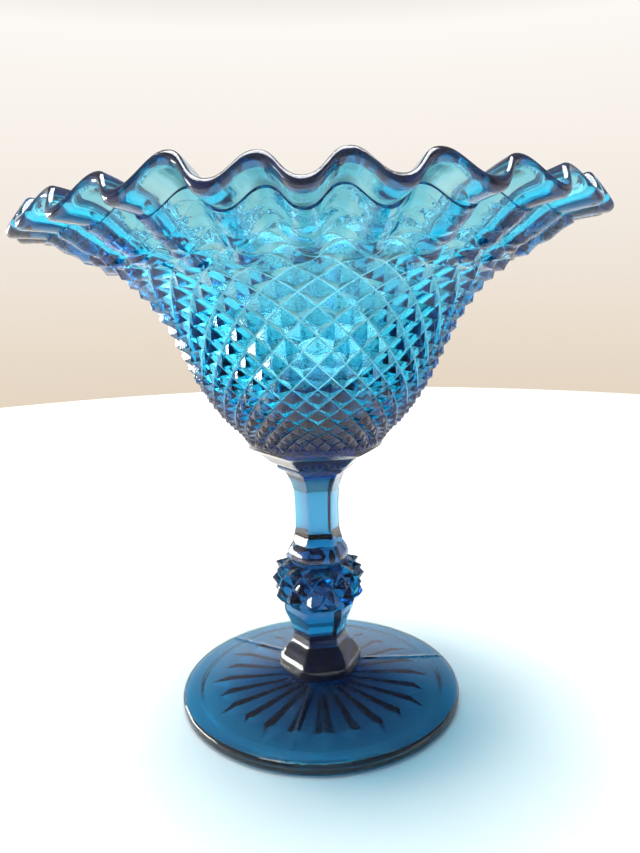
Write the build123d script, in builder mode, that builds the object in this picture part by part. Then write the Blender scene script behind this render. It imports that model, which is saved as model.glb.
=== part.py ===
from build123d import *
from math import cos, radians, sin
import os

# Footed compote of blue pressed glass, in millimetres.
# The origin is the middle of the resting face, +Z is up and -Y is the front.
# The glass is one piece, divided here into the zones that its mould and its hot crimping make.

# foot
foot_radius = 49.0
foot_edge_height = 4.6
foot_edge_round = 1.6
foot_crown_radius = 15.0
foot_crown_height = 9.6
rest_ring_inner = 43.5
rest_ring_outer = 47.6
foot_recess = 1.0
ray_count = 24
ray_turn = 1.0
ray_depth = 1.75
ray_half_width = 3.4
ray_start = 15.0
ray_shoulder = 32.5
ray_tips = (40.5, 37.0)

# stem: hexagonal, with its radii taken over the corners
stem_sides = 6
stem_corner_angle = 8.0
flare_top = 23.2
drum_top = 34.6
knop_top = 50.6
bead_top = 57.0
shaft_top = 84.4
collar_top = 92.6
neck_radius = 9.3
waist_radius = 7.8
flare_sections = (
    (foot_crown_height, 14.6),
    (11.0, 15.4),
    (13.8, 15.2),
    (17.6, 12.8),
    (flare_top, neck_radius),
)
drum_sections = ((flare_top, neck_radius), (26.6, 9.8), (31.0, 12.1), (drum_top, 12.4))
shaft_sections = (
    (bead_top, 9.4),
    (60.4, 8.1),
    (66.5, waist_radius),
    (75.0, waist_radius),
    (79.4, 9.3),
    (82.0, 11.2),
    (83.4, 13.2),
    (shaft_top, 13.6),
)

# bead: a cushion profile, cut to six sides with this radius over the corners
bead_side = ((10.4, knop_top), (11.6, 52.6), (10.2, 55.4))
bead_top_radius = 9.0
bead_corner_radius = 12.6

# collar: a round cup cut by six facets that end in arches under a plain band
collar_seat_radius = 20.0
collar_band = 1.2
facet_sections = ((shaft_top, 14.6), (89.0, 20.2), (collar_top, 28.5))

# knop: a barrel covered with blunt pyramids
knop_columns = 12
knop_turn = 5.0
knop_rows = ((38.9, 12.9), (44.2, 13.5), (49.0, 12.2))
knop_end_radius = 11.6
pyramid_height = 2.4
pyramid_width = 7.4
pyramid_tall = 9.6
pyramid_taper = 55

# bowl
base_radius = 22.7
shoulder_radius = 65.0
shoulder_height = 152.2
floor_height = 98.2
basin_top = 124.0
wall = 4.2
flare_slope = 41.5
outer_points = ((29.3, 100.0), (38.8, 113.7), (46.6, 130.0), (52.8, 139.9))
inner_points = ((22.0, 102.6), (34.6, 115.6), (42.6, 132.0), (49.2, 142.4))

# crimped rim
rim_radius = 88.3
rim_height = 167.8
rim_wall = 3.8
crimp_count = 26
crimp_wave = 4.3
crimp_slope = 36.0
crimp_phase = 6.4
side_sag = 3.4
lean = 1.9
points_per_crimp = 8


def ring_planes(count, radius, height, start_angle):
    """Planes that face outwards, evenly spaced round the axis."""
    planes = []
    for i in range(count):
        turn = radians(start_angle + 360 / count * i)
        spot = (radius * cos(turn), radius * sin(turn), height)
        sideways = (-sin(turn), cos(turn), 0)
        planes.append(Plane(origin=spot, x_dir=sideways, z_dir=(cos(turn), sin(turn), 0)))
    return planes


def lip_point(turn, inset):
    """Point on the crimped lip: the wave moves it square to the slope of the flare."""
    slope = radians(crimp_slope)
    lift = inset + crimp_wave * cos(crimp_count * (turn - radians(crimp_phase)))
    radius = rim_radius - lift * sin(slope)
    sag = side_sag * (cos(2 * turn) - 1) / 2 + lean * sin(turn)
    return (radius * sin(turn), -radius * cos(turn), rim_height + lift * cos(slope) + sag)


def lip_edge(inset):
    """Closed wavy edge round the lip."""
    count = crimp_count * points_per_crimp
    points = [lip_point(radians(360 / count * i), inset) for i in range(count)]
    return Edge.make_spline(points, periodic=True)


# Round foot: a shallow cone on a flat resting ring, with sun rays pressed into its underside.
with BuildPart() as foot:
    with BuildSketch(Plane.XZ):
        with BuildLine():
            Polyline(
                (0, foot_recess),
                (rest_ring_inner, foot_recess),
                (rest_ring_inner + foot_recess, 0),
                (rest_ring_outer, 0),
                (foot_radius, foot_radius - rest_ring_outer),
                (foot_radius, foot_edge_height - foot_edge_round),
                (foot_radius - foot_edge_round, foot_edge_height),
                (foot_crown_radius, foot_crown_height),
                (0, foot_crown_height),
                close=True,
            )
        make_face()
    revolve(axis=Axis.Z)
    for i, tip in enumerate(ray_tips):
        with BuildSketch(Plane.XY.offset(foot_recess)):
            with PolarLocations(0, ray_count // 2, start_angle=360 / ray_count * i + ray_turn - 90):
                Polygon(
                    (ray_start, 0),
                    (ray_shoulder, -ray_half_width),
                    (tip, 0),
                    (ray_shoulder, ray_half_width),
                    align=None,
                )
        extrude(amount=ray_depth, taper=45, mode=Mode.SUBTRACT)
foot.part.label = "foot"

# Lowest part of the stem, spreading onto the foot.
with BuildPart() as stem_flare:
    for height, radius in flare_sections:
        with BuildSketch(Plane.XY.offset(height)):
            RegularPolygon(radius, stem_sides, rotation=stem_corner_angle)
    loft(ruled=True)
stem_flare.part.label = "stem_flare"

# Six-sided drum under the knop.
with BuildPart() as stem_drum:
    for height, radius in drum_sections:
        with BuildSketch(Plane.XY.offset(height)):
            RegularPolygon(radius, stem_sides, rotation=stem_corner_angle)
    loft(ruled=True)
stem_drum.part.label = "stem_drum"

# Knop: a barrel with three staggered rows of pyramids.
with BuildPart() as knop:
    with BuildSketch(Plane.XZ):
        with BuildLine():
            middle = [(radius, height) for height, radius in knop_rows]
            outline = Spline((knop_end_radius, drum_top), *middle, (knop_end_radius, knop_top))
            Polyline(outline @ 1, (0, knop_top), (0, drum_top), outline @ 0)
        make_face()
    revolve(axis=Axis.Z)
    for i, (height, radius) in enumerate(knop_rows):
        half_step = 180 / knop_columns * ((i + 1) % 2)
        for plane in ring_planes(knop_columns, radius, height, knop_turn + half_step):
            with BuildSketch(plane):
                Polygon(
                    (pyramid_width / 2, 0),
                    (0, pyramid_tall / 2),
                    (-pyramid_width / 2, 0),
                    (0, -pyramid_tall / 2),
                )
            extrude(amount=pyramid_height / 2, taper=pyramid_taper)
    with BuildSketch(Plane.XY.offset(drum_top)):
        Circle(foot_radius)
    extrude(amount=knop_top - drum_top, mode=Mode.INTERSECT)
knop.part.label = "knop"

# Bead at the foot of the shaft: a round cushion cut by the six sides.
with BuildPart() as bead:
    with BuildSketch(Plane.XZ):
        with BuildLine():
            side = ThreePointArc(*bead_side)
            Polyline(side @ 1, (bead_top_radius, bead_top), (0, bead_top), (0, knop_top), side @ 0)
        make_face()
    revolve(axis=Axis.Z)
    with BuildSketch(Plane.XY.offset(knop_top)):
        RegularPolygon(bead_corner_radius, stem_sides, rotation=stem_corner_angle)
    extrude(amount=bead_top - knop_top, mode=Mode.INTERSECT)
bead.part.label = "bead"

# Waisted shaft, spreading into a flange at its top.
with BuildPart() as shaft:
    for height, radius in shaft_sections:
        with BuildSketch(Plane.XY.offset(height)):
            RegularPolygon(radius, stem_sides, rotation=stem_corner_angle)
    loft(ruled=True)
shaft.part.label = "shaft"

# Collar: the round base of the bowl, cut by six slanting facets.
with BuildPart() as collar:
    with BuildSketch(Plane.XZ):
        Polygon(
            (0, shaft_top),
            (collar_seat_radius, shaft_top),
            (base_radius, collar_top - collar_band),
            (base_radius, collar_top),
            (0, collar_top),
            align=None,
        )
    revolve(axis=Axis.Z)
    with BuildPart(mode=Mode.INTERSECT):
        for height, radius in facet_sections:
            with BuildSketch(Plane.XY.offset(height)):
                RegularPolygon(radius, stem_sides, rotation=stem_corner_angle)
        loft(ruled=True)
collar.part.label = "collar"

# Bowl: one even wall, steep at first and then flaring out to the crimped rim.
flare = (cos(radians(flare_slope)), sin(radians(flare_slope)))
inside_radius = shoulder_radius - wall * flare[1]
inside_height = shoulder_height + wall * flare[0]
base_edge = (base_radius, collar_top)
outer_shoulder = (shoulder_radius, shoulder_height)
inner_shoulder = (inside_radius, inside_height)
with BuildPart() as shell:
    with BuildSketch(Plane.XZ):
        with BuildLine():
            Spline(base_edge, *outer_points, outer_shoulder, tangents=((1, 1), flare))
            Spline((0, floor_height), *inner_points, inner_shoulder, tangents=((1, 0), flare))
            Line(outer_shoulder, inner_shoulder)
            Polyline((0, floor_height), (0, collar_top), base_edge)
        make_face()
    revolve(axis=Axis.Z)

# Lower half of the shell, with the solid floor.
with BuildPart() as basin:
    add(shell.part)
    split(bisect_by=Plane.XY.offset(basin_top), keep=Keep.BOTTOM)
basin.part.label = "basin"

# Upper half of the shell, open at both ends.
with BuildPart() as bowl_wall:
    add(shell.part)
    split(bisect_by=Plane.XY.offset(basin_top), keep=Keep.TOP)
bowl_wall.part.label = "bowl_wall"

# Crimped rim: a flaring band that starts round and ends in the wavy, thick lip.
front = Plane(origin=(0, 0, 0), x_dir=(0, -1, 0), z_dir=(0, 0, 1))
outer_start = Edge.make_circle(shoulder_radius, front.offset(shoulder_height))
inner_start = Edge.make_circle(inside_radius, front.offset(inside_height))
outer_lip = lip_edge(0)
inner_lip = lip_edge(rim_wall)
band = (
    (inner_start, outer_start),
    (outer_start, outer_lip),
    (outer_lip, inner_lip),
    (inner_lip, inner_start),
)
with BuildPart() as crimped_rim:
    add(Solid(Shell([Face.make_surface_from_curves(high, low) for low, high in band])))
crimped_rim.part.label = "crimped_rim"

os.makedirs("parts", exist_ok=True)
for piece in (foot, stem_flare, stem_drum, knop, bead, shaft, collar, basin, bowl_wall, crimped_rim):
    export_step(piece.part, f"parts/{piece.part.label}.step")
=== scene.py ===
import bpy
import numpy as np
from mathutils import Matrix, Vector


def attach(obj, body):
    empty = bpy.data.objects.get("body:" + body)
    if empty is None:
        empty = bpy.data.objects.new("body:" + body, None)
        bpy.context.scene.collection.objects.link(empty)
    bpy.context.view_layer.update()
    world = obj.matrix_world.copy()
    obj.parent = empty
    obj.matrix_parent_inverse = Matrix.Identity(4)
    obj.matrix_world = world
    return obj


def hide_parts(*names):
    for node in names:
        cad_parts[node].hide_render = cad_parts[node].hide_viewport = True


# Footed bowl of one pressing of clear blue glass, drawn zone by zone.
# Lengths are millimetres until a mesh is made. A turn of 0 faces the front, -Y, and grows towards +X.
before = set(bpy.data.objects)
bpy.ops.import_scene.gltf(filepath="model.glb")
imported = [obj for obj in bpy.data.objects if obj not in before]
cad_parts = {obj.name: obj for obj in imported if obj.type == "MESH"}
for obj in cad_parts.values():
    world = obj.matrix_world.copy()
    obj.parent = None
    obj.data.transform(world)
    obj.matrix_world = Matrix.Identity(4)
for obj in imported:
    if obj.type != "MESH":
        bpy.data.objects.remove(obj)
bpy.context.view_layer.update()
scene = bpy.context.scene
print("frame loaded:", len(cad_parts), "zones")


# sRGB hex to linear: divide by 255, then the sRGB curve undone channel by channel.
def linear(hexColour):
    channel = np.array([int(hexColour[k:k + 2], 16) for k in (1, 3, 5)]) / 255
    value = np.where(channel <= 0.04045, channel / 12.92, ((channel + 0.055) / 1.055) ** 2.4)
    return (*value.tolist(), 1.0)


# One node with its settings, by attribute or socket name, and its incoming links, by socket name.
def addNode(tree, kind, settings={}, links={}):
    node = tree.nodes.new(kind)
    for key, value in settings.items():
        if hasattr(node, key):
            setattr(node, key, value)
        else:
            node.inputs[key].default_value = value
    for key, source in links.items():
        tree.links.new(source, node.inputs[key])
    return node


# A smooth line through points: cubic pieces whose slope at each point is that between its neighbours,
# by length along the points. Returns many points evenly spaced in that length.
def smoothLine(points, count):
    points = np.array(points, float)
    gaps = np.hypot(*np.diff(points, axis=0).T)
    along = np.concatenate([[0], np.cumsum(gaps)])
    slopes = np.gradient(points, along, axis=0)
    place = np.linspace(0, along[-1], count)
    piece = np.clip(np.searchsorted(along, place, "right") - 1, 0, len(gaps) - 1)
    gap = gaps[piece][:, None]
    t = ((place - along[piece]) / gaps[piece])[:, None]
    low, high = points[piece], points[piece + 1]
    rise = (2 * t ** 3 - 3 * t ** 2 + 1) * low + (-2 * t ** 3 + 3 * t ** 2) * high
    bend = (t ** 3 - 2 * t ** 2 + t) * gap * slopes[piece] + (t ** 3 - t ** 2) * gap * slopes[piece + 1]
    return rise + bend


# A soft step from 0 at low to 1 at high: 3 t squared less 2 t cubed.
def ease(value, low, high):
    t = np.clip((value - low) / (high - low), 0, 1)
    return t * t * (3 - 2 * t)


# Places on rings: radius times the sine and minus the cosine of the turn, and the height.
def onRings(radius, turn, height):
    radius, turn, height = np.broadcast_arrays(radius, turn, height)
    return np.stack([radius * np.sin(turn), -radius * np.cos(turn), height], axis=-1)


# A hexagon with softened corners: the flat's distance over the p-norm of the cosines to its six flats.
def hexRadius(turn, corner, softness, angle):
    flats = np.radians(angle + 30 + 60 * np.arange(6))
    cosines = np.maximum(np.cos(turn[..., None] - flats), 0)
    norm = (cosines ** np.expand_dims(softness, -1)).sum(axis=-1) ** (1 / softness)
    return corner * np.cos(np.pi / 6) / norm


# A diamond lattice: across and up are counted in half diamonds, so grooves lie where their sum or their
# difference is even. Height is 0 on a groove's flat floor and 1 at the point, by distance to the nearest
# groove. Only diamonds whose row number lies in rows stand up.
def diamonds(across, up, floor, rows=(-np.inf, np.inf)):
    plus, minus = across + up, across - up
    toPlus, toMinus = (np.abs((v + 1) % 2 - 1) for v in (plus, minus))
    rowOf = np.floor(plus / 2 + 1e-6) - np.floor(minus / 2 + 1e-6)
    height = (np.minimum(toPlus, toMinus) - floor) / (1 - floor)
    return np.clip(height, 0, 1) * ((rowOf >= rows[0]) & (rowOf <= rows[1]))


# A grid's nodes drawn together towards the grooves, so that each groove's floor has its own nodes:
# the sum and the difference of across and up are each moved by one odd function of period 2.
def drawnToGrooves(across, up, places):
    steps = np.linspace(0, 1, len(places))
    nodes = np.concatenate([steps, 2 - steps[-2::-1]])
    moved = np.concatenate([places, 2 - np.array(places)[-2::-1]])
    plus, minus = (np.floor(v / 2) * 2 + np.interp(v % 2, nodes, moved)
                   for v in (across + up, across - up))
    return (plus + minus) / 2, (plus - minus) / 2


# Rings of points, in order along the outline, joined into one closed skin with outward faces. Ends close on
# a point on the axis, or the last ring joins the first. Each cell is cut along the diagonal that cut asks
# for. joins has a 1 for each span that faces a neighbour. pattern has a 1 for a point that the mould's cut
# pattern made and a 2 for one on a groove's floor, and a face counts as its least point.
def closedSkin(name, rings, joins, loop=False, cut=None, pattern=None, crease=16):
    rows, columns = rings.shape[:2]
    spans = rows if loop else rows - 1
    row = np.arange(spans)[:, None]
    column = np.arange(columns)[None]
    nextColumn, nextRow = (column + 1) % columns, (row + 1) % rows
    here, there = row * columns + column, nextRow * columns + column
    nextHere, nextThere = row * columns + nextColumn, nextRow * columns + nextColumn
    main = np.ones((spans, columns), bool)
    if cut is not None:
        main[:cut.shape[0]] = cut
    first = np.stack([here, nextHere, np.where(main, nextThere, there)], axis=-1)
    second = np.stack([np.where(main, here, nextHere), nextThere, there], axis=-1)
    faces = np.concatenate([first.reshape(-1, 3), second.reshape(-1, 3)])
    kind = np.tile(np.repeat(joins[:spans], columns), 2)
    points = rings.reshape(-1, 3)
    marks = np.zeros(len(points)) if pattern is None else pattern.reshape(-1)
    least = marks[faces].min(axis=1)
    if not loop:
        poles = np.array([[0, 0, rings[0, :, 2].mean()], [0, 0, rings[-1, :, 2].mean()]])
        lowPole, highPole = np.full(columns, len(points)), np.full(columns, len(points) + 1)
        firstRing = np.arange(columns)
        lastRing = (rows - 1) * columns + firstRing
        bottom = np.stack([lowPole, np.roll(firstRing, -1), firstRing], axis=-1)
        top = np.stack([highPole, lastRing, np.roll(lastRing, -1)], axis=-1)
        points = np.concatenate([points, poles])
        faces = np.concatenate([faces, bottom, top])
        kind = np.concatenate([kind, np.full(columns, joins[0]), np.full(columns, joins[spans - 1])])
        least = np.concatenate([least, np.zeros(2 * columns)])
    mesh = bpy.data.meshes.new(name)
    mesh.from_pydata((points / 1000).tolist(), [], faces.tolist())
    for mark, value in (("join", kind == 1), ("groove", least == 2), ("pressed", least >= 1)):
        mesh.attributes.new(mark, "FLOAT", "FACE").data.foreach_set("value", value.astype(np.float32))
    mesh.shade_smooth()
    mesh.set_sharp_from_angle(angle=np.radians(crease))
    mesh.materials.append(blueGlass)
    mesh.update()
    piece = bpy.data.objects.new(name, mesh)
    scene.collection.objects.link(piece)
    return piece


# The piece rides on the one body and stands for its node, whose part is hidden; its blue glass slot comes
# with its skin.
def place(piece, node):
    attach(piece, "root")
    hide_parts(node)
    print("made", piece.name, "with", len(piece.data.polygons), "triangles")


# Soda-lime glass coloured blue with copper and cobalt, pressed in an iron mould and fire-polished. It is
# glossy and clear, takes red out of the light first, shows a faint chill ripple from the mould and has a
# faint haze. Where the mould's cut pattern pressed it, it has a fine grain instead, and the grooves' floors
# are duller. The grain is drawn a little coarser than the mould's, so that it shows.
glassLook = {"ior": 1.51, "through": "#00E1EF", "perMetre": 480.0, "shadow": "#4796AE", "clear": 0.97,
             "ripple": {"mm": 9.0, "strength": 0.05, "deep": 0.0006},
             "grain": {"mm": 0.7, "deep": 0.00004, "plain": 0.12}, "rough": (0.03, 0.3)}


# Glass that bends light and absorbs it inside, by a power of the distance. A join face lets light straight
# through, and shadows take one fixed tint, about what two walls would give them.
def pressedGlass():
    ripple, grain = glassLook["ripple"], glassLook["grain"]
    material = bpy.data.materials.new("pressedBlueSodaGlass")
    material.use_nodes = True
    tree = material.node_tree
    tree.nodes.clear()
    where = addNode(tree, "ShaderNodeTexCoord")
    pressed, groove, join = (addNode(tree, "ShaderNodeAttribute", {"attribute_name": mark})
                             for mark in ("pressed", "groove", "join"))
    wide = addNode(tree, "ShaderNodeTexNoise", {"Scale": 1000 / ripple["mm"], "Detail": 2.0},
                   {"Vector": where.outputs["Object"]})
    waves = addNode(tree, "ShaderNodeBump", {"Strength": ripple["strength"], "Distance": ripple["deep"]},
                    {"Height": wide.outputs[0]})
    narrow = addNode(tree, "ShaderNodeTexNoise", {"Scale": 1000 / grain["mm"], "Detail": 1.0},
                     {"Vector": where.outputs["Object"]})
    amount = addNode(tree, "ShaderNodeMapRange", {"To Min": grain["plain"], "To Max": 1.0},
                     {"Value": pressed.outputs["Fac"]})
    relief = addNode(tree, "ShaderNodeBump", {"Distance": grain["deep"]},
                     {"Height": narrow.outputs[0], "Normal": waves.outputs[0],
                      "Strength": amount.outputs[0]})
    rough = addNode(tree, "ShaderNodeMapRange",
                    {"To Min": glassLook["rough"][0], "To Max": glassLook["rough"][1]},
                    {"Value": groove.outputs["Fac"]})
    clarity = addNode(tree, "ShaderNodeMapRange", {"To Min": glassLook["clear"], "To Max": 1.0},
                      {"Value": pressed.outputs["Fac"]})
    glass = addNode(tree, "ShaderNodeBsdfPrincipled", {"Base Color": (1, 1, 1, 1), "IOR": glassLook["ior"]},
                    {"Normal": relief.outputs[0], "Roughness": rough.outputs[0],
                     "Transmission Weight": clarity.outputs[0]})
    clear = addNode(tree, "ShaderNodeBsdfTransparent")
    joined = addNode(tree, "ShaderNodeMixShader", {}, {"Fac": join.outputs["Fac"]})
    tree.links.new(glass.outputs[0], joined.inputs[1])
    tree.links.new(clear.outputs[0], joined.inputs[2])
    tint = addNode(tree, "ShaderNodeBsdfTransparent", {"Color": linear(glassLook["shadow"])})
    path = addNode(tree, "ShaderNodeLightPath")
    mixed = addNode(tree, "ShaderNodeMixShader", {}, {"Fac": path.outputs["Is Shadow Ray"]})
    tree.links.new(joined.outputs[0], mixed.inputs[1])
    tree.links.new(tint.outputs[0], mixed.inputs[2])
    inside = addNode(tree, "ShaderNodeVolumeAbsorption",
                     {"Color": linear(glassLook["through"]), "Density": glassLook["perMetre"]})
    output = addNode(tree, "ShaderNodeOutputMaterial")
    tree.links.new(mixed.outputs[0], output.inputs["Surface"])
    tree.links.new(inside.outputs["Volume"], output.inputs["Volume"])
    return material


blueGlass = pressedGlass()
# A join face sinks by dish, so that two neighbours' faces never lie on each other, and is inset by a little.
dish, inset = 0.05, 0.999
print("glass ready")


# A solid turned piece from outer rings, bottom to top: each end closes with a flat join face, sunk by dish,
# or with glass where the end is open to the air. cut and pattern go with the outer rings.
def turned(name, node, outer, ends=(1, 1), crease=16, cut=None, pattern=None):
    low, high = outer[:1], outer[-1:]
    shrink, sink = np.array([inset, inset, 1]), np.array([0, 0, dish])
    under = low * shrink + sink * ends[0]
    over = high * shrink - sink * ends[1]
    half = np.array([0.5, 0.5, 1])
    rings = np.concatenate([under * half, under, outer, over, over * half])
    joins = np.zeros(len(rings), int)
    joins[:2], joins[-3:] = ends[0], ends[1]
    if cut is not None:
        cut = np.concatenate([np.ones((2, outer.shape[1]), bool), cut])
    if pattern is not None:
        pattern = np.pad(pattern, ((2, 2), (0, 0)))
    place(closedSkin(name, rings, joins, crease=crease, cut=cut, pattern=pattern), node)


foot = {"columns": 720, "radius": 49.0, "edge": 4.6,
        "round": 1.5, "roundLow": 1.9, "roundDrop": 0.2, "roundSpan": (-60, 78, 12),
        "crownRadius": 15.0, "crownHeight": 9.6, "crownCurve": 1.1,
        "topEdge": 46.6, "topRings": 30, "riseStart": 47.4,
        "recess": 1.0, "recessSlope": 2.8, "restIn": 43.5, "restOut": 47.6, "liftOut": 48.6, "lift": 0.5,
        "underRings": ((4, 42, 62), (42.4, 47.6, 12), (48.1, 48.1, 1)),
        "rays": 24, "rayTurn": 1.0, "rayStart": 0.0, "rayShoulder": 32.5, "rayTips": (40.5, 37.0),
        "rayHalf": 4.1, "rayDepth": 0.9, "raySteep": 1.6,
        "seams": 3, "seamTurn": -13.0, "seamHalf": 1.5, "seamHeight": 0.3}


# Underside: a recess inside the resting ring, and rays cut up into it. A ray's half width grows in a line
# from its start to its shoulder and shrinks to its tip. Across it, its depth is a cosine's hollow.
def footUnderside(radius, turn):
    pitch = 2 * np.pi / foot["rays"]
    number = np.round((turn - np.radians(foot["rayTurn"])) / pitch)
    off = np.abs(turn - np.radians(foot["rayTurn"]) - number * pitch) * radius
    tip = np.where(number % 2 == 0, *foot["rayTips"])
    rising = (radius - foot["rayStart"]) / (foot["rayShoulder"] - foot["rayStart"])
    falling = (tip - radius) / (tip - foot["rayShoulder"])
    half = np.clip(np.minimum(rising, falling), 0, 1) * foot["rayHalf"]
    across = np.clip(off / np.maximum(half, 1e-3), 0, 1)
    hollow = (1 + np.cos(np.pi * across)) / 2
    groove = foot["rayDepth"] * (half / foot["rayHalf"]) ** foot["raySteep"] * hollow
    recess = foot["recess"] * (1 - ease(radius, foot["restIn"] - foot["recessSlope"], foot["restIn"]))
    return recess + groove + foot["lift"] * ease(radius, foot["restOut"], foot["liftOut"])


# A mould seam stands up as a cosine bump across each of the lines where the mould's parts met.
def seamLift(radius, turn):
    off = (turn - np.radians(foot["seamTurn"]) + np.pi / foot["seams"]) % (2 * np.pi / foot["seams"])
    across = np.abs(off - np.pi / foot["seams"]) * radius / foot["seamHalf"]
    return foot["seamHeight"] * (1 + np.cos(np.pi * np.clip(across, 0, 1))) / 2


# Underside, rounded edge, and a top that rises from the edge to the crown by a power of the way in, with the
# seams on it, up to the six-sided line where the stem starts.
def makeFoot():
    turn = np.linspace(0, 2 * np.pi, foot["columns"], endpoint=False)[None]
    lower = np.concatenate([np.linspace(*part) for part in foot["underRings"]])[:, None]
    bottom = onRings(lower, turn, footUnderside(lower, turn))
    bend = np.radians(np.linspace(*foot["roundSpan"]))[:, None]
    middle = np.where(bend < 0, foot["roundLow"], foot["edge"] - foot["round"] - foot["roundDrop"])
    edge = onRings(foot["radius"] - foot["round"] + foot["round"] * np.cos(bend), turn,
                   middle + foot["round"] * np.sin(bend))
    upper = np.linspace(foot["topEdge"], foot["crownRadius"], foot["topRings"])[:, None]
    lift = (foot["riseStart"] - upper) / (foot["riseStart"] - foot["crownRadius"])
    rise = (foot["crownHeight"] - foot["edge"]) * lift ** foot["crownCurve"]
    top = onRings(upper, turn, foot["edge"] + rise + seamLift(upper, turn))
    corner, height = stem["flare"][0]
    stemLine = corner * hexRadius(turn, 1.0, softnessAt(height), stem["angle"])
    outer = np.concatenate([bottom, edge, top, onRings(stemLine, turn, height)])
    pattern = np.zeros(outer.shape[:2])
    pattern[:len(bottom)] = 1
    turned("footGlass", "foot", outer, ends=(0, 1), crease=12, pattern=pattern)


# The six-sided stem: angle is one corner's turn, sharp lists heights with their corner exponents, and each
# length has corner radii with their heights, and its number of rings.
stem = {"columns": 360, "rings": {"flare": 40, "drum": 36, "bead": 22, "shaft": 70}, "angle": -22.0,
        "sharp": ((9.6, 9), (13, 12), (18, 44), (48, 44), (50.6, 9), (57, 9), (61, 44), (92, 44)),
        "flare": ((14.2, 9.6), (15.2, 10.4), (15.5, 12.0), (15.2, 14.0), (12.8, 17.7), (9.9, 21.2),
                  (9.3, 23.2)),
        "drum": ((9.3, 23.2), (9.6, 25.2), (10.9, 28.8), (12.1, 31.4), (12.5, 33.4), (12.5, 34.6)),
        "bead": ((10.6, 50.6), (11.5, 51.6), (11.5, 53.4), (10.6, 55.3), (9.4, 57.0)),
        "shaft": ((9.4, 57.0), (8.6, 58.8), (7.9, 61.4), (7.7, 66.0), (7.8, 72.0), (8.1, 75.8), (9.2, 79.0),
                  (11.0, 82.1), (13.4, 83.8), (13.6, 84.4))}


# How sharp the six corners are at a height: soft at the flare's foot and on the bead, crisp between.
def softnessAt(height):
    return np.interp(height, *np.array(stem["sharp"]).T)


# A six-sided length of the stem: the corner radius follows a smooth line through the listed points.
def hexRings(points, count):
    turn = np.linspace(0, 2 * np.pi, stem["columns"], endpoint=False)[None]
    line = smoothLine(points, count)
    turn, corner, height = np.broadcast_arrays(turn, line[:, :1], line[:, 1:])
    return onRings(corner * hexRadius(turn, 1.0, softnessAt(height), stem["angle"]), turn, height)


makeFoot()
turned("stemFlareGlass", "stem_flare", hexRings(stem["flare"], stem["rings"]["flare"]))
turned("stemDrumGlass", "stem_drum", hexRings(stem["drum"], stem["rings"]["drum"]))
turned("beadGlass", "bead", hexRings(stem["bead"], stem["rings"]["bead"]))
turned("shaftGlass", "shaft", hexRings(stem["shaft"], stem["rings"]["shaft"]))

knop = {"divide": 8, "floor": 0.05, "turn": 20.0, "depth": 2.8, "sides": 12,
        "barrel": ((12.5, 34.6), (12.8, 38.9), (13.4, 44.2), (12.4, 48.6), (10.6, 50.6)),
        "places": (0, 0.05, 0.14, 0.3, 0.46, 0.62, 0.78, 0.92, 1),
        "pyramidRows": (0, 2), "sixBelow": (0.4, 1), "sixAbove": (2.2, 3)}


# Which diagonal each lattice cell is cut along: the one that runs with its nearer groove, so that no groove
# is drawn as a row of teeth.
def latticeCut(columns, firstRow, rows, divide):
    column, row = np.meshgrid(np.arange(columns), np.arange(firstRow, firstRow + rows))
    plus, minus = (column + row + 1) / divide, (column - row) / divide
    toPlus, toMinus = (np.abs((v + 1) % 2 - 1) for v in (plus, minus))
    return toMinus < toPlus


# Three staggered rows of twelve pyramids on a barrel: its radius, six-sided at both ends and round between,
# plus depth times the lattice height. Rows stand at whole counts, from -1 at the bottom to 3 at the top.
def makeKnop():
    divide = knop["divide"]
    columns, rows = 2 * knop["sides"] * divide, 4 * divide
    across, up = np.meshgrid(np.arange(columns) / divide, np.arange(rows + 1) / divide - 1)
    across, up = drawnToGrooves(across, up, knop["places"])
    turn = np.radians(knop["turn"]) + (across - 1) * np.pi / knop["sides"]
    barrel = np.array(knop["barrel"])
    radius, height = (np.interp(up, np.arange(-1, 4), barrel[:, k]) for k in (0, 1))
    sixSided = np.maximum(ease(-up, *knop["sixBelow"]), ease(up, *knop["sixAbove"]))
    radius = radius * (1 + (hexRadius(turn, 1.0, softnessAt(height), stem["angle"]) - 1) * sixSided)
    lattice = diamonds(across, up, knop["floor"], knop["pyramidRows"])
    outer = onRings(radius + knop["depth"] * lattice, turn, height)
    turned("knopGlass", "knop", outer, cut=latticeCut(columns, -divide, rows, divide))


makeKnop()

collar = {"columns": 480, "rings": 60, "round": 22.7, "blend": 90,
          "corners": ((13.4, 84.4), (15.7, 85.8), (17.9, 87.6), (20.4, 89.5), (24.4, 91.3), (28.5, 92.6))}


# The smaller of a six-sided cup and a round drum, joined softly by a p-norm of their inverses, so that each
# facet ends in an arch under a plain round band.
def makeCollar():
    turn = np.linspace(0, 2 * np.pi, collar["columns"], endpoint=False)[None]
    line = smoothLine(collar["corners"], collar["rings"])
    turn, corner, height = np.broadcast_arrays(turn, line[:, :1], line[:, 1:])
    sides = corner * hexRadius(turn, 1.0, softnessAt(height), stem["angle"])
    power = collar["blend"]
    radius = (sides ** -power + collar["round"] ** -power) ** (-1 / power)
    turned("collarGlass", "collar", onRings(radius, turn, height))


makeCollar()

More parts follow.
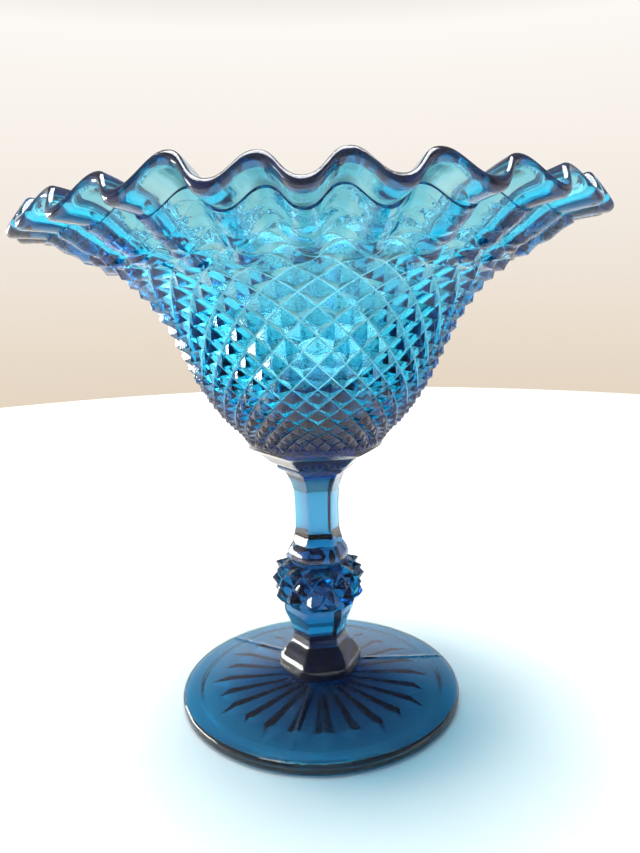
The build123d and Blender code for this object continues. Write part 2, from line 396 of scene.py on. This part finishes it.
# The bowl's lattice has sides diamonds round it, and each half diamond takes divide nodes. Its rows are half
# diamonds: crossRow stands at crossHeight, and the zones part at basinRow and rimRow.
bowl = {"sides": 32, "divide": 8, "turn": 1.58, "rows": 24, "crossRow": 13, "crossHeight": 129.9,
        "basinRow": 12, "basinInside": 125.3, "basinStep": 3, "rimRow": 20, "rimInside": 155.8,
        "outside": ((22.7, 92.6), (25.4, 96.2), (29.3, 100.0), (34.6, 106.9), (38.8, 113.9), (43.3, 123.4),
                    (47.1, 131.2), (50.4, 136.6), (54.4, 141.9), (59.4, 147.2), (65.0, 152.2),
                    (77.9, 163.6)),
        "inside": ((85.56, 170.28), (80.5, 168.75), (77.2, 167.6), (74.3, 165.9), (68.8, 161.1),
                   (62.2, 155.35), (56.4, 150.1), (49.2, 142.4), (42.6, 132.0), (34.6, 115.6),
                   (22.0, 102.6), (1.5, 98.2)),
        "outsideSteps": 4000, "insideRings": 240, "pressedRadius": 46.5, "drawn": (8.0, 54.0, 68.0),
        "depth": 0.047, "deepest": 2.4, "fade": 0.85, "fadeRows": (16, 23), "floor": 0.065,
        "places": (0, 0.065, 0.13, 0.3, 0.46, 0.62, 0.78, 0.93, 1), "joinInset": 0.01}
rim = {"crimps": 26, "turn": 6.4, "wave": 4.15, "flat": 0.05,
       "waveSlope": 36.0, "waveFrom": 57.0, "waveTo": 88.0,
       "drift": ((0.2, 3, 1.0), (0.15, 7, 0.0)), "uneven": 0.05,
       "sag": 3.4, "lean": 1.9, "pulls": ((-22.0, 8.0, 1.9), (97.0, 14.0, 1.9)),
       "sagFrom": 45.0, "sagSpan": 41.0, "sagPower": 1.5,
       "band": ((77.4, 164.45), (79.5, 165.0), (83.2, 165.9), (86.3, 166.55)), "bandRings": 14,
       "lip": (86.05, 168.45), "lipRadius": 1.9, "lipSpan": (-72, 100, 18)}


# The crimped edge: each point moves square to the flare's slope by a cosine of its turn, with a little of
# its third harmonic taken off. The wave grows with radius, and drifts and changes in size by slow sines, as
# hand tools leave it. The edge sinks at both sides by half of (cosine of twice the turn, less 1) and leans
# by a sine, and each of pulls lifts it about one turn by a bell curve.
def crimped(radius, turn, height):
    grown = np.clip((radius - rim["waveFrom"]) / (rim["waveTo"] - rim["waveFrom"]), 0, 1)
    phase = rim["crimps"] * (turn - np.radians(rim["turn"]))
    for swing, times, start in rim["drift"]:
        phase = phase + swing * np.sin(times * turn + start)
    share = 1 - rim["uneven"] * (1 - np.sin(5 * turn + 0.7) * np.sin(2 * turn))
    lift = rim["wave"] * grown * (2 - grown) * share * (np.cos(phase) - rim["flat"] * np.cos(3 * phase))
    slope = np.radians(rim["waveSlope"])
    fall = np.clip((radius - rim["sagFrom"]) / rim["sagSpan"], 0, 2) ** rim["sagPower"]
    sink = rim["sag"] * (np.cos(2 * turn) - 1) / 2 + rim["lean"] * np.sin(turn)
    for where, width, pull in rim["pulls"]:
        away = (np.degrees(turn) - where + 180) % 360 - 180
        sink = sink + pull * np.exp(-(away / width) ** 2)
    return onRings(radius - lift * np.sin(slope), turn, height + lift * np.cos(slope) + sink * fall)


# The lattice's rows along the outline. A half row is as long as half a column is wide, so diamonds are
# square, up to the radius the bowl was pressed to. Past it the flaring only widens them, and then draws them
# shorter. Returns, for each point of the outline, the rows counted up to it, its place and its direction.
def rowsAlong():
    line = smoothLine(bowl["outside"], bowl["outsideSteps"])
    step = np.diff(line, axis=0)
    length = np.hypot(*step.T)
    shorter, drawnFrom, drawnTo = bowl["drawn"]
    radius = line[1:, 0]
    pressedAt = np.minimum(radius, bowl["pressedRadius"]) - shorter * ease(radius, drawnFrom, drawnTo)
    count = np.concatenate([[0], np.cumsum(length * bowl["sides"] / np.pi / pressedAt)])
    cross = np.interp(bowl["crossHeight"], line[:, 1], count)
    count = np.interp(count, (0, cross, count[-1]), (0, bowl["crossRow"], bowl["rows"]))
    slope = np.gradient(line, axis=0)
    slope /= np.hypot(*slope.T)[:, None]
    return count, line, slope


# Two pairs of rings for a cut through the wall, for the zone below it and for the zone above: both stand
# a little in from the outer and the inner ring, and sink into their own zone.
def joinRings(outerRing, innerRing):
    ways = (bowl["joinInset"], 1 - bowl["joinInset"])
    nearOuter, nearInner = (outerRing * (1 - t) + innerRing * t for t in ways)
    below = np.stack([nearOuter, nearInner]) - [0, 0, dish]
    above = np.stack([nearInner, nearOuter]) + [0, 0, dish]
    return below, above


# Marks the rings from start with the rows given, and none of the others.
def onlyAt(marks, start, count):
    return np.pad(marks, ((start, count - start - len(marks)), (0, 0)))


# Basin, bowl wall and crimped rim. Outside, the outline's points move square to it, inwards by depth times
# (1 less the lattice height). Depth grows with radius up to a limit and fades towards the rim. Inside is
# plain. Both are crimped, and the lattice is cut through at two rows, with a pair of join rings in each cut.
def makeBowl():
    divide = bowl["divide"]
    columns = 2 * bowl["sides"] * divide
    across, up = np.meshgrid(np.arange(columns) / divide, np.arange(bowl["rows"] * divide + 1) / divide)
    across, up = drawnToGrooves(across, up, bowl["places"])
    turn = np.radians(bowl["turn"]) + (across - bowl["crossRow"]) * np.pi / bowl["sides"]
    count, line, slope = rowsAlong()
    radius, height = (np.interp(up, count, line[:, k]) for k in (0, 1))
    outR, outZ = np.interp(up, count, slope[:, 1]), -np.interp(up, count, slope[:, 0])
    lattice = diamonds(across, up, bowl["floor"])
    fade = 1 - bowl["fade"] * ease(up, *bowl["fadeRows"])
    depth = np.minimum(bowl["depth"] * radius, bowl["deepest"]) * ease(up, 0, 1) * fade
    cutIn = depth * (1 - lattice)
    outer = crimped(radius - outR * cutIn, turn, height - outZ * cutIn)
    plainTurn = np.linspace(0, 2 * np.pi, columns, endpoint=False)[None] + turn[0, 0]
    inside = smoothLine(bowl["inside"], bowl["insideRings"])
    inner = crimped(inside[:, :1], plainTurn, inside[:, 1:])
    basinRow, rimRow = bowl["basinRow"] * divide, bowl["rimRow"] * divide
    basinStart, rimEnd = (np.argmin(np.abs(inside[:, 1] - bowl[key])) for key in
                          ("basinInside", "rimInside"))
    basinEdge, rimEdge = (joinRings(outer[row], inner[start]) for row, start in
                          ((basinRow, basinStart), (rimRow, rimEnd)))
    pattern = np.where(lattice < 1e-6, 2, 1)

    low = outer[:1] * [inset, inset, 1] + [0, 0, dish]
    inners = inner[basinStart::bowl["basinStep"]]
    rings = np.concatenate([low * [0.5, 0.5, 1], low, outer[:basinRow + 1], basinEdge[0], inners])
    joins = np.zeros(len(rings), int)
    joins[:2] = 1
    joins[basinRow + 2:basinRow + 5] = 1
    cut = np.concatenate([np.ones((2, columns), bool), latticeCut(columns, 0, basinRow, divide)])
    place(closedSkin("basinGlass", rings, joins, cut=cut,
                     pattern=onlyAt(pattern[:basinRow + 1], 2, len(rings))), "basin")

    rows = rimRow - basinRow
    inners = inner[rimEnd:basinStart + 1]
    rings = np.concatenate([outer[basinRow:rimRow + 1], rimEdge[0], inners, basinEdge[1]])
    joins = np.zeros(len(rings), int)
    joins[rows:rows + 3] = 1
    joins[-3:] = 1
    place(closedSkin("bowlWallGlass", rings, joins, loop=True,
                     cut=latticeCut(columns, basinRow, rows, divide),
                     pattern=onlyAt(pattern[basinRow:rimRow + 1], 0, len(rings))), "bowl_wall")

    rows = len(outer) - 1 - rimRow
    band = smoothLine(rim["band"], rim["bandRings"])
    bend = np.radians(np.linspace(*rim["lipSpan"]))[:, None]
    lip = np.array(rim["lip"]) + rim["lipRadius"] * np.concatenate([np.cos(bend), np.sin(bend)], axis=1)
    edge = np.concatenate([band, lip])
    edgeRings = crimped(edge[:, :1], plainTurn, edge[:, 1:])
    rings = np.concatenate([outer[rimRow:], edgeRings, inner[1:rimEnd + 1], rimEdge[1]])
    joins = np.zeros(len(rings), int)
    joins[-3:] = 1
    place(closedSkin("crimpedRimGlass", rings, joins, loop=True,
                     cut=latticeCut(columns, rimRow, rows, divide),
                     pattern=onlyAt(pattern[rimRow:], 0, len(rings))), "crimped_rim")


makeBowl()

# Lengths from here on are metres. The wall's colours go with the height of the direction looked in, and
# behind is where the wall gives way to the room, by the direction's way back.
studio = {"table": {"colour": "#F3EEE6", "radius": 0.72, "sides": 96, "height": -0.00005, "rough": 0.6},
          "wall": (("#DCCBB5", -0.3), ("#EBDDCB", -0.1), ("#F1E7DB", 0.0), ("#F7EFE6", 0.1),
                   ("#FFFBF6", 0.28), ("#46423F", 0.52)),
          "wallSpan": (-0.3, 0.6), "behind": (-0.95, -0.05), "room": "#45413F", "strength": 0.98,
          "lights": (("windowLight", (-0.95, 0.28, 0.15), (0, 0, 0.06), (0.8, 0.26), 12.0, "#FFFDF8"),
                     ("aboveLight", (-0.08, 0.1, 1.15), (0, 0, 0), (0.9, 0.9), 30.0, "#FFFFFF"))}


# The table: a plain disc, one ring of points joined to its centre. Its painted board is coated fibreboard,
# pale and dull, so that it only takes soft light and shadow.
def makeTable():
    look = studio["table"]
    turn = np.linspace(0, 2 * np.pi, look["sides"], endpoint=False)
    points = np.append(onRings(look["radius"], turn, look["height"]), [[0, 0, look["height"]]], axis=0)
    mesh = bpy.data.meshes.new("table")
    order = np.arange(look["sides"])
    faces = np.stack([order, np.roll(order, -1), np.full(look["sides"], look["sides"])], axis=-1)
    mesh.from_pydata(points.tolist(), [], faces.tolist())
    material = bpy.data.materials.new("paintedBoard")
    material.use_nodes = True
    shader = material.node_tree.nodes["Principled BSDF"]
    shader.inputs["Base Color"].default_value = linear(look["colour"])
    shader.inputs["Roughness"].default_value = look["rough"]
    mesh.materials.append(material)
    table = bpy.data.objects.new("table", mesh)
    scene.collection.objects.link(table)


makeTable()
print("table set")


# The surroundings by direction: a pale wall behind, brighter upwards to a dim ceiling, and a dim room in
# front. Wall and room are mixed by a soft step on how far back the direction points.
def makeSurroundings():
    world = bpy.data.worlds.new("surroundings")
    scene.world = world
    world.use_nodes = True
    tree = world.node_tree
    tree.nodes.clear()
    low, high = studio["wallSpan"]
    where = addNode(tree, "ShaderNodeTexCoord")
    split = addNode(tree, "ShaderNodeSeparateXYZ", {}, {"Vector": where.outputs["Generated"]})
    upward = addNode(tree, "ShaderNodeMapRange", {"From Min": low, "From Max": high},
                     {"Value": split.outputs["Z"]})
    wall = addNode(tree, "ShaderNodeValToRGB", {}, {"Fac": upward.outputs[0]})
    ramp = wall.color_ramp
    for number, (colour, height) in enumerate(studio["wall"]):
        spot = (height - low) / (high - low)
        element = ramp.elements[number] if number < 2 else ramp.elements.new(spot)
        element.position = spot
        element.color = linear(colour)
    behind = addNode(tree, "ShaderNodeMapRange",
                     {"From Min": studio["behind"][0], "From Max": studio["behind"][1],
                      "interpolation_type": "SMOOTHSTEP"},
                     {"Value": split.outputs["Y"]})
    mixed = addNode(tree, "ShaderNodeMix", {"data_type": "RGBA"}, {"Factor": behind.outputs[0]})
    mixed.inputs[6].default_value = linear(studio["room"])
    tree.links.new(wall.outputs[0], mixed.inputs[7])
    light = addNode(tree, "ShaderNodeBackground", {"Strength": studio["strength"]})
    tree.links.new(mixed.outputs[2], light.inputs["Color"])
    output = addNode(tree, "ShaderNodeOutputWorld")
    tree.links.new(light.outputs[0], output.inputs["Surface"])


makeSurroundings()
print("surroundings set")


# A soft oblong light that faces the point target.
def addLight(name, spot, target, size, power, colour):
    data = bpy.data.lights.new(name, "AREA")
    data.shape = "RECTANGLE"
    data.size, data.size_y = size
    data.energy = power
    data.color = linear(colour)[:3]
    light = bpy.data.objects.new(name, data)
    light.location = spot
    light.rotation_euler = (Vector(target) - Vector(spot)).to_track_quat("-Z", "Y").to_euler()
    scene.collection.objects.link(light)


for light in studio["lights"]:
    addLight(*light)
print("lights set:", len(studio["lights"]))

# Angles are radians, and the lens is in millimetres on a sensor as wide as full-frame film.
camera = {"spot": (0.0, -0.24758, 0.14808), "down": 0.20334, "aside": 0.006713, "roll": -0.022253,
          "sensor": 36.0, "lens": 31.76, "near": 0.01}


# The camera looks down by one angle and aside by another, and is rolled about its line of sight by a third.
def makeCamera():
    down, aside, roll = camera["down"], camera["aside"], camera["roll"]
    ahead = Vector((np.sin(aside) * np.cos(down), np.cos(aside) * np.cos(down), -np.sin(down)))
    right = ahead.cross(Vector((0, 0, 1))).normalized()
    upward = right.cross(ahead)
    rolledRight = np.cos(roll) * right + np.sin(roll) * upward
    rolledUp = np.cos(roll) * upward - np.sin(roll) * right
    data = bpy.data.cameras.new("camera")
    data.sensor_width = camera["sensor"]
    data.lens = camera["lens"]
    data.clip_start = camera["near"]
    eye = bpy.data.objects.new("camera", data)
    turn = Matrix((rolledRight, rolledUp, -ahead)).transposed().to_4x4()
    eye.matrix_world = Matrix.Translation(camera["spot"]) @ turn
    scene.collection.objects.link(eye)
    scene.camera = eye


makeCamera()
print("camera set")

# Light passes many glass faces and join faces before it leaves, so the bounce limits are high.
scene.cycles.max_bounces = 24
scene.cycles.transmission_bounces = 24
scene.cycles.glossy_bounces = 8
scene.cycles.transparent_max_bounces = 48
scene.cycles.sample_clamp_indirect = 8.0
scene.cycles.use_denoising = True
scene.view_settings.view_transform = "Standard"
